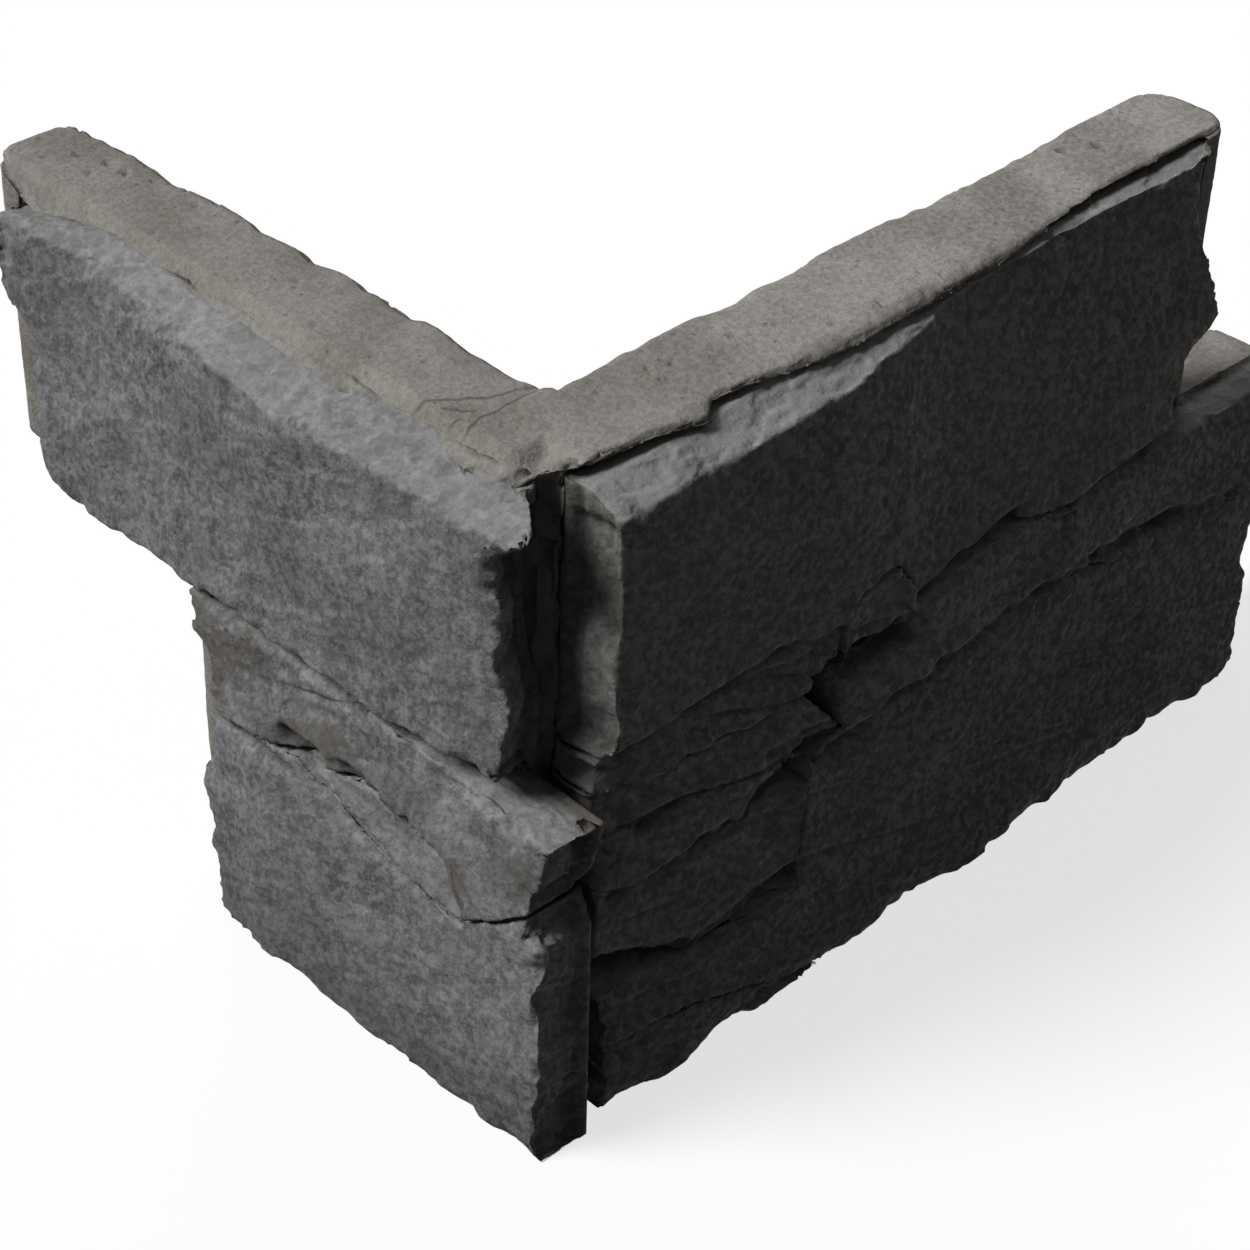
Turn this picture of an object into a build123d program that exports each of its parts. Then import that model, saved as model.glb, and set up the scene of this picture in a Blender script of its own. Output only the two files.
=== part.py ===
"""Facade corner of split slates bedded in a cast cement back.

The unit is an L in plan and wraps the outside corner of a wall. Its origin is the foot
of that wall corner: the long arm runs along +X with its slates facing -Y, the short arm
along +Y with its slates facing -X. All lengths are in millimetres.
"""

import os
from collections import namedtuple

from build123d import *

# Overall sizes, from the wall corner and from the foot
HEIGHT = 200.0
STEP_HEIGHT = 113.0
LONG_UPPER = 235.0
LONG_LOWER = 284.0
SHORT_UPPER = 186.0
SHORT_LOWER = 112.0

# Cement back
CEMENT = 30.0
LEDGE_DROP = 9.0
END_ROUND = 9.0
CORNER_CUT = 10.0
TOP_ROUND = 2.0
LEDGE_ROUND = 5.0
LIP_REACH = 6.0
LIP_DROP = 10.0

# Slates
BED = 3.0
FACE = 45.0
RELIEF = 10.0
END_MARGIN = 15.0
TOP_MARGIN = 1.0
JOINT = 0.8
SLAB_TAPER = 1.5
CHIP_TAPER = 1.0
SPARE = 8.0

# Corner ends of the courses, out from the wall corner
SHORT_UPPER_LAP = 31.0
SHORT_LOWER_LAP = 46.0
LONG_UPPER_LAP = 20.0
LONG_LOWER_LAP = 24.0

UP = Vector(0, 0, 1)
Arm = namedtuple("Arm", "along out")
LONG = Arm(Vector(1, 0, 0), Vector(0, -1, 0))
SHORT = Arm(Vector(0, 1, 0), Vector(-1, 0, 0))

Course = namedtuple("Course", "arm start end foot head")
SHORT_TOP = Course(SHORT, -SHORT_UPPER_LAP, SHORT_UPPER - END_MARGIN, STEP_HEIGHT, HEIGHT - TOP_MARGIN)
SHORT_LOW = Course(SHORT, -SHORT_LOWER_LAP, SHORT_LOWER - END_MARGIN, 0, STEP_HEIGHT)
LONG_TOP = Course(LONG, -LONG_UPPER_LAP, LONG_UPPER - END_MARGIN, STEP_HEIGHT, HEIGHT - TOP_MARGIN)
LONG_LOW = Course(LONG, -LONG_LOWER_LAP, LONG_LOWER - END_MARGIN, 0, STEP_HEIGHT)


def spots(course, *shares):
    """Turn shares of a course's length and height into places along and up its arm."""
    length = course.end - course.start
    rise = course.head - course.foot
    return [(course.start + s * length, course.foot + t * rise) for s, t in shares]


def split_slate(arm, outline, face, taper=SLAB_TAPER, crown=None):
    """One slate: its outline drawn out of the bed, then split along an uneven face.

    `face` lists places along the slate, as shares of its length, each with how far the face
    stands out from the face line at the slate's foot and at its head, in shares of the relief.
    `crown` is the fall of a cleft top edge towards the face.
    """
    low_end, high_end = (f(u for u, v in outline) for f in (min, max))
    foot, head = (f(v for u, v in outline) for f in (min, max))
    with BuildPart() as slate:
        with BuildSketch(Plane(arm.out * (CEMENT - BED), x_dir=arm.along, z_dir=arm.along.cross(UP))):
            with BuildLine():
                Polyline(*outline, close=True)
            make_face()
            offset(amount=-JOINT / 2, kind=Kind.INTERSECTION, mode=Mode.REPLACE)
        extrude(amount=FACE - CEMENT + BED + SPARE, dir=arm.out, taper=taper)
        for level, column in ((foot, 1), (head, 2)):
            with BuildSketch(Plane.XY.offset(level)):
                with BuildLine():
                    line = [
                        arm.along * (low_end + spot[0] * (high_end - low_end))
                        + arm.out * (FACE + spot[column] * RELIEF)
                        for spot in face
                    ]
                    clear = arm.out * (FACE + 2 * SPARE)
                    Polyline(*line, arm.along * high_end + clear, arm.along * low_end + clear, close=True)
                make_face()
        loft(ruled=True, mode=Mode.SUBTRACT)
        if crown is not None:
            top = Plane(UP * HEIGHT + arm.out * (CEMENT - BED), z_dir=UP + arm.out * crown)
            split(bisect_by=top, keep=Keep.BOTTOM)
        if foot < 0:
            split(bisect_by=Plane.XY, keep=Keep.TOP)
    return slate.part


# Joints shared by two slates
LEDGE_FOOT = spots(SHORT_LOW, (0.66, 0.735), (0.44, 0.78), (0.285, 0.735))
LEDGE_NOSE = spots(SHORT_LOW, (0.20, 0.61), (0.10, 0.69), (0.035, 0.765))
WEDGE_FOOT = spots(SHORT_LOW, (0.55, 0.68), (0.36, 0.59), (0.22, 0.57))
LONG_BED = spots(LONG_LOW, (0.003, 1.08), (0.304, 1.07), (0.314, 1.125), (0.372, 1.14))
LONG_BED += spots(LONG_LOW, (0.406, 1.01), (0.546, 1.045), (0.632, 1))
CHIP_TOP_FOOT = spots(LONG_LOW, (0, 0.99), (0.045, 0.956), (0.27, 0.905))
CHIP_MIDDLE_FOOT = spots(LONG_LOW, (0, 0.86), (0.12, 0.82), (0.20, 0.76), (0.318, 0.735))
CHIP_LOW_FOOT = spots(LONG_LOW, (0, 0.73), (0.05, 0.68), (0.16, 0.645), (0.29, 0.70))
CHIP_CORNER_FOOT = spots(LONG_LOW, (0.12, 0.345), (0.264, 0.34), (0.275, 0.64))
SLAB_HEAD = spots(LONG_LOW, (0.387, 0.715), (0.634, 0.725), (0.66, 0.745), (0.788, 0.66), (1, 0.645))
FOOT_CHIP_HEAD = spots(LONG_LOW, (0.36, -0.05), (0.13, 0.185), (0.01, 0.235))

# Short arm
short_top_slab = split_slate(
    SHORT,
    spots(SHORT_TOP, (0.012, 0.03), (0.85, 0), (0.925, 0.05), (0.945, 0.15), (0.94, 0.50), (1, 0.68))
    + spots(SHORT_TOP, (1, 0.92), (0.80, 1), (0.45, 0.98), (0.20, 1), (-0.035, 0.98), (-0.035, 0.91))
    + spots(SHORT_TOP, (0.008, 0.81), (0.003, 0.41), (-0.013, 0.29)),
    face=[(0, 0, 0.1), (0.25, 0.1, 0.25), (0.43, 0, 0.3), (0.67, 0, -0.3), (0.86, 0, -0.5), (1, -0.2, -0.3)],
    crown=0.5,
)
short_ledge = split_slate(
    SHORT,
    LEDGE_FOOT
    + LEDGE_NOSE
    + spots(SHORT_LOW, (0, 0.83), (-0.03, 0.985), (0.45, 1), (0.985, 0.99), (1, 0.87))
    + spots(SHORT_LOW, (0.955, 0.80), (0.95, 0.71), (0.88, 0.67)),
    face=[(0, 0.2, 0.25), (0.3, 0.3, 0), (0.7, 0.2, -0.2), (1, 0, -0.2)],
)
short_wedge = split_slate(
    SHORT,
    LEDGE_FOOT + LEDGE_NOSE[:1] + WEDGE_FOOT[::-1],
    face=[(0, -0.1, -0.3), (1, 0, -0.2)],
    taper=CHIP_TAPER,
)
short_low_slab = split_slate(
    SHORT,
    spots(SHORT_LOW, (0, -0.05), (0.97, -0.05), (1, 0.17), (0.975, 0.26), (1, 0.41), (0.97, 0.55))
    + spots(SHORT_LOW, (0.95, 0.655), (0.88, 0.67), (0.66, 0.735))
    + WEDGE_FOOT
    + LEDGE_NOSE
    + spots(SHORT_LOW, (0, 0.66)),
    face=[(0, 0.1, 0.1), (0.4, 0, -0.1), (0.8, 0.1, 0.1), (1, -0.4, -0.2)],
)

# Long arm
long_top_slab = split_slate(
    LONG,
    LONG_BED
    + spots(LONG_TOP, (0.965, 0.03), (0.96, 0.24), (1.01, 0.31), (1.035, 0.37), (1.02, 0.48), (0.99, 0.65))
    + spots(LONG_TOP, (0.985, 0.88), (1.015, 1), (0.36, 1), (-0.006, 0.98)),
    face=[(0, 0.2, 0.1), (0.26, 0.2, 0.2), (0.35, 0.2, 0), (0.44, 0.1, -0.4)]
    + [(0.53, 0, -0.9), (0.75, 0, -1), (1, -0.1, -0.9)],
    crown=0.4,
)
long_ledge_near = split_slate(
    LONG,
    LONG_BED[1:]
    + spots(LONG_LOW, (0.634, 0.725), (0.387, 0.715), (0.318, 0.735), (0.285, 0.915))
    + spots(LONG_LOW, (0.382, 0.94), (0.378, 0.965), (0.306, 0.965)),
    face=[(0, 0.2, 0.1), (0.35, 0.4, 0.1), (1, 0.3, 0)],
    taper=CHIP_TAPER,
)
long_ledge_far = split_slate(
    LONG,
    SLAB_HEAD[1:] + spots(LONG_LOW, (0.985, 0.80), (1, 0.97), (0.78, 0.99), (0.634, 0.99)),
    face=[(0, 0.2, 0), (0.5, 0.1, -0.2), (1, 0, -0.3)],
)
long_chip_top = split_slate(
    LONG,
    LONG_BED[:2] + spots(LONG_LOW, (0.30, 0.965)) + CHIP_TOP_FOOT[::-1],
    face=[(0, 0.1, -0.3), (1, 0, -0.2)],
    taper=CHIP_TAPER,
)
long_chip_middle = split_slate(
    LONG,
    CHIP_TOP_FOOT + CHIP_MIDDLE_FOOT[::-1],
    face=[(0, -0.2, -0.4), (1, -0.1, -0.2)],
    taper=CHIP_TAPER,
)
long_chip_low = split_slate(
    LONG,
    CHIP_MIDDLE_FOOT[:3] + CHIP_LOW_FOOT[::-1],
    face=[(0, 0.1, 0), (1, -0.2, -0.3)],
    taper=CHIP_TAPER,
)
long_chip_corner = split_slate(
    LONG,
    CHIP_LOW_FOOT[:3] + CHIP_CORNER_FOOT[::-1] + spots(LONG_LOW, (0.05, 0.425), (0, 0.50)),
    face=[(0, 0.1, -0.1), (1, -0.1, -0.2)],
    taper=CHIP_TAPER,
)
long_low_slab = split_slate(
    LONG,
    spots(LONG_LOW, (0, 0.40), (0.06, 0.385))
    + CHIP_CORNER_FOOT
    + CHIP_LOW_FOOT[3:]
    + CHIP_MIDDLE_FOOT[3:]
    + SLAB_HEAD
    + spots(LONG_LOW, (0.985, 0.30), (1, -0.05))
    + FOOT_CHIP_HEAD,
    face=[(0, 0.1, -0.3), (0.2, 0.3, -0.2), (0.6, 0.2, -0.3), (1, 0, -0.4)],
)
long_foot_chip = split_slate(
    LONG,
    spots(LONG_LOW, (0.015, -0.05)) + FOOT_CHIP_HEAD,
    face=[(0, 0.1, -0.1), (0.3, 0.3, 0.1), (1, 0.2, 0)],
    taper=CHIP_TAPER,
)

slates = {
    "short_top_slab": short_top_slab,
    "short_ledge": short_ledge,
    "short_wedge": short_wedge,
    "short_low_slab": short_low_slab,
    "long_top_slab": long_top_slab,
    "long_ledge_near": long_ledge_near,
    "long_ledge_far": long_ledge_far,
    "long_chip_top": long_chip_top,
    "long_chip_middle": long_chip_middle,
    "long_chip_low": long_chip_low,
    "long_chip_corner": long_chip_corner,
    "long_low_slab": long_low_slab,
    "long_foot_chip": long_foot_chip,
}

# Cement back: an L cast in three lifts so that its ends step, with a pocket for each slate
LEDGE_HEIGHT = STEP_HEIGHT - LEDGE_DROP
with BuildPart() as cement_back:
    for foot, head, long_end, short_end in (
        (0, LEDGE_HEIGHT, LONG_LOWER, SHORT_LOWER),
        (LEDGE_HEIGHT / 2, STEP_HEIGHT, LONG_UPPER, SHORT_LOWER),
        (STEP_HEIGHT, HEIGHT, LONG_UPPER, SHORT_UPPER),
    ):
        with BuildSketch(Plane.XY.offset(foot)) as lift:
            with BuildLine():
                Polyline(
                    (0, 0),
                    (0, short_end),
                    (-CEMENT, short_end),
                    (-CEMENT, CORNER_CUT - CEMENT),
                    (CORNER_CUT - CEMENT, -CEMENT),
                    (long_end, -CEMENT),
                    (long_end, 0),
                    close=True,
                )
            make_face()
            fillet(lift.vertices().filter_by(lambda v: max(v.X, v.Y) > CEMENT), END_ROUND)
        extrude(amount=head - foot)
        if foot == 0:
            rim = cement_back.edges().filter_by_position(Axis.Z, head, head)
            fillet(rim.sort_by(Axis.X)[-1], LEDGE_ROUND)

    fillet(cement_back.faces().sort_by(Axis.Z)[-1].outer_wire().edges(), TOP_ROUND)

    # Cement squeezed over the head of the long arm's slate
    with BuildSketch(Plane.XY.offset(HEIGHT - LIP_DROP)):
        with BuildLine():
            length = LONG_TOP.end - LONG_TOP.start
            lobes = ((0, 0), (0.10, 0.4), (0.165, 1), (0.19, 0.1), (0.295, 0.7), (0.376, 1), (0.61, 0.8))
            edge = [(LONG_TOP.start + s * length, -CEMENT - r * LIP_REACH) for s, r in (*lobes, (0.80, 0))]
            Polyline(*edge, (edge[-1][0], TOP_ROUND - CEMENT), (edge[0][0], TOP_ROUND - CEMENT), close=True)
        make_face()
    extrude(amount=LIP_DROP)
    for slate in slates.values():
        add(slate, mode=Mode.SUBTRACT)

os.makedirs("parts", exist_ok=True)
cement_back.part.label = "cement_back"
export_step(cement_back.part, "parts/cement_back.step")
for name, slate in slates.items():
    slate.label = name
    export_step(slate, f"parts/{name}.step")
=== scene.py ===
"""Looks of a facade corner: split slates bedded on a cast cement back, on a pale floor."""

import math
from collections import namedtuple

import bmesh
import bpy
import numpy as np
from mathutils import Matrix, Vector, kdtree, noise
from mathutils.bvhtree import BVHTree


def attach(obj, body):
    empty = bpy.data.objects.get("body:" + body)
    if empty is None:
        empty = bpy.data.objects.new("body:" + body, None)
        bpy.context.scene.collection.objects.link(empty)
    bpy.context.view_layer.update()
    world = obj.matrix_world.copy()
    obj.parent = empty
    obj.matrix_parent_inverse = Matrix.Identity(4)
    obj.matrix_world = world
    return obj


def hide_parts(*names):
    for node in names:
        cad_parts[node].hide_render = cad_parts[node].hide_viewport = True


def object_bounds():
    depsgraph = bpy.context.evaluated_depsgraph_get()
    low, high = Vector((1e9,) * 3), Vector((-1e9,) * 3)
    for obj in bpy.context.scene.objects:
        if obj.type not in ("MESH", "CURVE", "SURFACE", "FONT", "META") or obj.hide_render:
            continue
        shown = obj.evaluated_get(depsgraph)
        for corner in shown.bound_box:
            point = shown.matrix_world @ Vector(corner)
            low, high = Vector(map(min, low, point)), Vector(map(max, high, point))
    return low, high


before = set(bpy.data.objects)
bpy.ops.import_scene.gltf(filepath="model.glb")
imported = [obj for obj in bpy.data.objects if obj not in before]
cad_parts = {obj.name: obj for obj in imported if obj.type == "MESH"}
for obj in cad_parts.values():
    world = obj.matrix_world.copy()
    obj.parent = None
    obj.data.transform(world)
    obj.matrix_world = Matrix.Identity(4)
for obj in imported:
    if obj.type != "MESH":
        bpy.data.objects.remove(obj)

bl_info = {
    "name": "Slate facade corner",
    "version": (1, 0, 0),
    "blender": (4, 5, 0),
    "location": "3D View > Sidebar > Slate corner",
    "description": "Splits the slates, casts the cement back and sets the stage of a facade corner",
    "category": "Object",
}

MM = 0.001
CAD_LOW, CAD_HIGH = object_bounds()
TOP = CAD_HIGH.z
# From the wall to the face of the cement
BED_DEPTH = 30 * MM

# Camera fitted to the photograph: angles in radians, focal length in its pixels, place and sensor
# in mm
PHOTO_PIXELS = 1250
PHOTO_PITCH, PHOTO_YAW, PHOTO_ROLL = 0.640500, 0.801571, 0.029759
PHOTO_FOCAL = 2953.05
PHOTO_PLACE = (-412.62, -426.93, 571.61)
SENSOR = 36

# Lamps: where the light comes from, and its spread in degrees
KEY_FROM, KEY_SPREAD = (-0.62, 0.33, 0.75), 24
RIM_FROM, RIM_SPREAD = (0.55, 0.6, 0.58), 30

# Floor: half its side in metres, the share of pure white in what the camera sees of it, and the
# grey that light bounces off
FLOOR_REACH = 12
FLOOR_GLOW = 0.72
FLOOR_BOUNCE = (0.05, 0.05, 0.05, 1)
WHITE = (1, 1, 1, 1)

# How each slate split: seed of its noise, then shares of the swell, terraces, ragged ends, chips,
# cracks and brown stain, and how fresh its face is
Split = namedtuple("Split", "seed swell terrace ends chip crack stain bare", defaults=(0,))
SHORT_SLATES = {
    "short_top_slab": Split(3, 0.9, 0.7, 1.4, 1.0, 0.15, 0.35),
    "short_ledge": Split(5, 1.3, 1.2, 1.9, 1.3, 0.6, 1.0),
    "short_wedge": Split(8, 1.0, 1.2, 1.0, 1.0, 0.6, 0.3, 0.6),
    "short_low_slab": Split(11, 0.9, 0.7, 1.4, 1.0, 0.15, 0.3),
}
LONG_SLATES = {
    "long_top_slab": Split(14, 1.0, 0.9, 1.0, 0.9, 0.4, 0.4),
    "long_ledge_near": Split(17, 1.5, 1.3, 0.8, 1.2, 0.9, 0.4),
    "long_ledge_far": Split(21, 1.2, 1.0, 1.0, 1.1, 0.8, 0.4),
    "long_chip_top": Split(24, 1.5, 1.3, 1.2, 1.3, 1.0, 0.4),
    "long_chip_middle": Split(27, 1.5, 1.3, 1.2, 1.3, 1.0, 0.4),
    "long_chip_low": Split(31, 1.5, 1.3, 1.2, 1.3, 1.0, 0.4),
    "long_chip_corner": Split(34, 1.5, 1.3, 1.2, 1.3, 0.8, 0.4),
    "long_low_slab": Split(37, 1.1, 0.9, 1.0, 1.0, 0.5, 0.4),
    "long_foot_chip": Split(41, 1.3, 1.2, 1.2, 1.2, 0.7, 0.4),
}
# Its back is undercut at the corner
UNDERCUT_SLATE = "short_top_slab"

# Shadow lines between the layers: places along and up the arm, then depth and half width, in mm
Groove = namedtuple("Groove", "line depth width")
SHORT_GROOVES = (
    Groove(((82, 114), (56, 112), (24, 110)), 4.0, 2.2),
    Groove(((-1, 115), (-17, 113), (-28, 110)), 2.2, 1.4),
    Groove(((86, 75), (66, 76), (50, 75)), 3.0, 2.0),
    Groove(((53, 86), (39, 86)), 7.0, 2.4),
    Groove(((34, 88), (17, 89)), 3.2, 1.8),
    Groove(((5, 85), (-9, 81), (-23, 75)), 2.8, 2.0),
    Groove(((40, 78), (20, 68), (-6, 62)), 2.0, 1.5),
)
LONG_GROOVES = (
    Groove(((-14, 121), (15, 122), (45, 123)), 4.5, 2.2),
    Groove(((52, 101), (72, 102), (90, 103)), 6.0, 2.6),
    Groove(((94, 115), (114, 117), (136, 120)), 4.0, 2.0),
    Groove(((84, 82), (123, 86), (165, 87), (203, 83), (244, 76)), 4.5, 2.8),
    Groove(((41, 89), (67, 86)), 3.0, 1.6),
    Groove(((66, 76), (80, 76)), 3.5, 2.0),
    Groove(((50, 77), (63, 74)), 3.0, 1.6),
    Groove(((-8, 93), (8, 92)), 3.5, 2.0),
    Groove(((-16, 75), (7, 74), (26, 74)), 4.0, 2.2),
    Groove(((-26, 56), (-4, 46), (14, 40), (52, 42)), 4.5, 2.8),
    Groove(((40, 6), (68, 2)), 3.0, 2.0),
)

# The two arms: directions along the arm and out of the wall, slates, shadow lines, height in mm up
# to which the foot is painted darker as shade, and share of fresh stone that shows on the cleft
# tops
Arm = namedtuple("Arm", "along out slates grooves damp fresh")
SHORT = Arm(Vector((0, 1, 0)), Vector((-1, 0, 0)), SHORT_SLATES, SHORT_GROOVES, 50, 0.3)
LONG = Arm(Vector((1, 0, 0)), Vector((0, -1, 0)), LONG_SLATES, LONG_GROOVES, 150, 0.65)

# Cracks in the cement where the arms meet: places in x and y on the top, then half width, in mm
Crack = namedtuple("Crack", "line width")
CRACKS = (
    Crack(((0, 1), (-11, 4), (-23, 11), (-32, 17)), 0.9),
    Crack(((-4, 0), (-15, 0), (-22, 0), (-30, -2)), 0.8),
    Crack(((-21, 3), (-26, 9)), 0.7),
    Crack(((-26, 3), (-34, 5)), 0.8),
)
# The cracks fade slowly down the sides, because heights count less
FLATTEN = (1, 1, 0.2)
# The grains of the slate follow layers that lie aslant
LAID = (0.22, 0.22, 1.0)
# Dry stone and cement hardly shine
SPECULAR = 0.08

# Noise that shapes the stone: size of its features in mm, either one or along, out of and up the
# arm, then seed, octaves and the two levels between which a mask rises
Pattern = namedtuple("Pattern", "size seed octaves levels", defaults=(1, None))
SEED_SHIFT = (7.31, 3.17, 5.73)
FALL_OFF, LACUNARITY = 1.0, 2.0

# On the slates, whose own seeds are added
SWELL = Pattern((60, 40, 34), 0, 2)
FLAKES = Pattern((44, 30, 17), 1, 3)
GRAIN = Pattern(2.6, 2, 3)
BITES = Pattern((12, 24, 12), 3, 2, (-0.15, 0.6))
LAYERS = Pattern((12, 2.6, 12), 4, 2)
NOTCHES = Pattern((14, 34, 14), 5, 3, (-0.35, 0.5))
CHIPPED_RUNS = Pattern(48, 6, 1, (-0.2, 0.3))
CRACK_LINES = Pattern((90, 60, 15), 7, 2)
CRACKED_AREAS = Pattern(42, 8, 1, (0.0, 0.3))
CLEFT_FLAKES = Pattern((17, 9, 17), 9, 3)
SCALLOPS = Pattern((20, 40, 40), 10, 3, (-0.4, 0.5))
# Seed of the swell that neighbours share at a joint
JOINT_SEED = 71
# Levels of the flakes on a face and on a cleft top, and the share of a level that rises
FACE_LEVELS, CLEFT_LEVELS, RISER = 4, 3, 0.25
# Level of its noise up to which a crack is open
CRACK_WIDTH = 0.12
# How far these reach from an arris or from the foot, in mm
SHARED_REACH, CHIP_REACH, STEP_REACH, END_REACH, WEAR_REACH = 9, 3, 5, 4, 1.2
SCALLOP_REACH = 5

# On the cement
LOBES = Pattern(24, 51, 3)
GRIT = Pattern(2.8, 52, 2)
WEAR = Pattern(7, 53, 3)
WAVE = Pattern(30, 54, 2)
FINE = Pattern(3, 55, 2)
HOLES = Pattern(3.4, 56, 1, (0.48, 0.62))
HOLED_AREAS = Pattern(20, 57, 1, (-0.1, 0.3))
BAYS = Pattern(24, 58, 3, (-0.3, 0.6))
HOLLOWS = Pattern(13, 59, 3, (-0.5, 0.5))
# Depths of the skin's lobes and sag, the lip's slope and grit, the bays in the wall edges with
# their reach in mm, the fine grain, and the hollows in the slot between the arms' slates
LOBE_DEPTH, SAG_DEPTH = 1.6 * MM, 4.5 * MM
LIP_DEPTH, GRIT_DEPTH = 1.4 * MM, 0.35 * MM
BAY_DEPTH, BAY_REACH = 1.8 * MM, 5
FINE_DEPTH, HOLLOW_DEPTH = 0.12 * MM, 3.4 * MM

# How near another slate makes a side a joint, and how far a side may turn to the front or back
JOINT_REACH = 8 * MM
SIDE_TURN = 0.6
# Vertices below these heights stay on the ground
SLATE_FOOT, CEMENT_FOOT = 0.6 * MM, 1.2 * MM


class SlateProps(bpy.types.PropertyGroup):
    """Sizes and colours of the split slates."""

    grid: bpy.props.FloatProperty(
        name="Grid",
        description="Mesh size of the split stone",
        default=0.9 * MM,
        unit="LENGTH",
        precision=5,
    )
    swell: bpy.props.FloatProperty(
        name="Swell",
        description="Depth of the slow waves of a split face",
        default=1.8 * MM,
        unit="LENGTH",
        precision=5,
    )
    terrace: bpy.props.FloatProperty(
        name="Terrace",
        description="Depth of the flakes left on a split face",
        default=1.8 * MM,
        unit="LENGTH",
        precision=5,
    )
    grain: bpy.props.FloatProperty(
        name="Grain",
        description="Depth of the fine grain",
        default=0.16 * MM,
        unit="LENGTH",
        precision=5,
    )
    rag: bpy.props.FloatProperty(
        name="Rag",
        description="Depth of the ragged ends",
        default=3.0 * MM,
        unit="LENGTH",
        precision=5,
    )
    bed: bpy.props.FloatProperty(
        name="Bed",
        description="Depth of the uneven joints",
        default=1.0 * MM,
        unit="LENGTH",
        precision=5,
    )
    chip: bpy.props.FloatProperty(
        name="Chip",
        description="Depth of the chips along an arris",
        default=3.0 * MM,
        unit="LENGTH",
        precision=5,
    )
    crack: bpy.props.FloatProperty(
        name="Crack",
        description="Depth of the cracks between layers",
        default=1.8 * MM,
        unit="LENGTH",
        precision=5,
    )
    flake: bpy.props.FloatProperty(
        name="Flake",
        description="Depth of the flakes on a cleft top",
        default=1.5 * MM,
        unit="LENGTH",
        precision=5,
    )
    scallop: bpy.props.FloatProperty(
        name="Scallop",
        description="Depth of the scallops along the foot",
        default=2.6 * MM,
        unit="LENGTH",
        precision=5,
    )
    close: bpy.props.FloatProperty(
        name="Close",
        description="How far the slates press into their joints",
        default=1.4 * MM,
        unit="LENGTH",
        precision=5,
    )
    undercut: bpy.props.FloatProperty(
        name="Undercut",
        description="How far the corner end of the short arm's top slab is undercut",
        default=13 * MM,
        unit="LENGTH",
        precision=5,
    )
    dark: bpy.props.FloatVectorProperty(
        name="Dark",
        description="Dark grains of the short arm's slate",
        default=(0.06, 0.0615, 0.064),
        subtype="COLOR",
    )
    light: bpy.props.FloatVectorProperty(
        name="Light",
        description="Light grains of the short arm's slate",
        default=(0.235, 0.238, 0.244),
        subtype="COLOR",
    )
    shade: bpy.props.FloatVectorProperty(
        name="Shade",
        description="Dark grains of the long arm's slate",
        default=(0.07, 0.067, 0.063),
        subtype="COLOR",
    )
    pale: bpy.props.FloatVectorProperty(
        name="Pale",
        description="Light grains of the long arm's slate",
        default=(0.19, 0.185, 0.175),
        subtype="COLOR",
    )
    rust: bpy.props.FloatVectorProperty(
        name="Rust",
        description="Brown stain on the slate",
        default=(0.088, 0.079, 0.069),
        subtype="COLOR",
    )
    cleft: bpy.props.FloatVectorProperty(
        name="Cleft",
        description="Fresh cleft edges",
        default=(0.25, 0.25, 0.247),
        subtype="COLOR",
    )
    # Painted shade: the near-black mixed into the grooves, the cracks, the sides by the bed and
    # towards the foot
    painted_shade: bpy.props.FloatVectorProperty(
        name="Painted shade",
        description="Darkness in the cracks",
        default=(0.018, 0.017, 0.016),
        subtype="COLOR",
    )


class CementProps(bpy.types.PropertyGroup):
    """Sizes and colours of the cast cement back."""

    grid: bpy.props.FloatProperty(
        name="Grid",
        description="Mesh size of the cast cement",
        default=1.2 * MM,
        unit="LENGTH",
        precision=5,
    )
    spill: bpy.props.FloatProperty(
        name="Spill",
        description="How far cement runs over the heads of the slates",
        default=5 * MM,
        unit="LENGTH",
        precision=5,
    )
    erosion: bpy.props.FloatProperty(
        name="Erosion",
        description="Depth of worn edges",
        default=1.2 * MM,
        unit="LENGTH",
        precision=5,
    )
    pit: bpy.props.FloatProperty(
        name="Pit",
        description="Depth of the air holes",
        default=1.1 * MM,
        unit="LENGTH",
        precision=5,
    )
    base: bpy.props.FloatVectorProperty(
        name="Base",
        description="Colour of the cement",
        default=(0.24, 0.226, 0.208),
        subtype="COLOR",
    )
    paler_long_arm: bpy.props.FloatVectorProperty(
        name="Dry",
        description="Paler cement of the long arm",
        default=(0.285, 0.271, 0.252),
        subtype="COLOR",
    )
    damp: bpy.props.FloatVectorProperty(
        name="Damp",
        description="Darker patches of the cement",
        default=(0.132, 0.12, 0.107),
        subtype="COLOR",
    )
    # Painted shade inside the air holes and pores and in the slot between the arms' slates, also
    # the colour of the cracks
    hole: bpy.props.FloatVectorProperty(
        name="Hole",
        description="Inside of the air holes",
        default=(0.05, 0.045, 0.04),
        subtype="COLOR",
    )


class StageProps(bpy.types.PropertyGroup):
    """Light and floor."""

    key: bpy.props.FloatProperty(
        name="Key", description="Strength of the key light", default=3.9
    )
    rim: bpy.props.FloatProperty(
        name="Rim", description="Strength of the light from behind", default=0.6
    )
    fill: bpy.props.FloatProperty(
        name="Fill", description="Strength of the light from all round", default=0.11
    )
    floor: bpy.props.FloatVectorProperty(
        name="Floor", description="Colour of the floor", default=(0.9, 0.9, 0.9), subtype="COLOR"
    )


def smooth(values, low, high):
    """Ease from 0 at low to 1 at high."""
    t = np.clip((values - low) / (high - low), 0, 1)
    return t * t * (3 - 2 * t)


def fade(distance, reach):
    """Fall from 1 at no distance towards 0, over a reach in mm."""
    return np.exp(-distance / (reach * MM))


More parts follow.
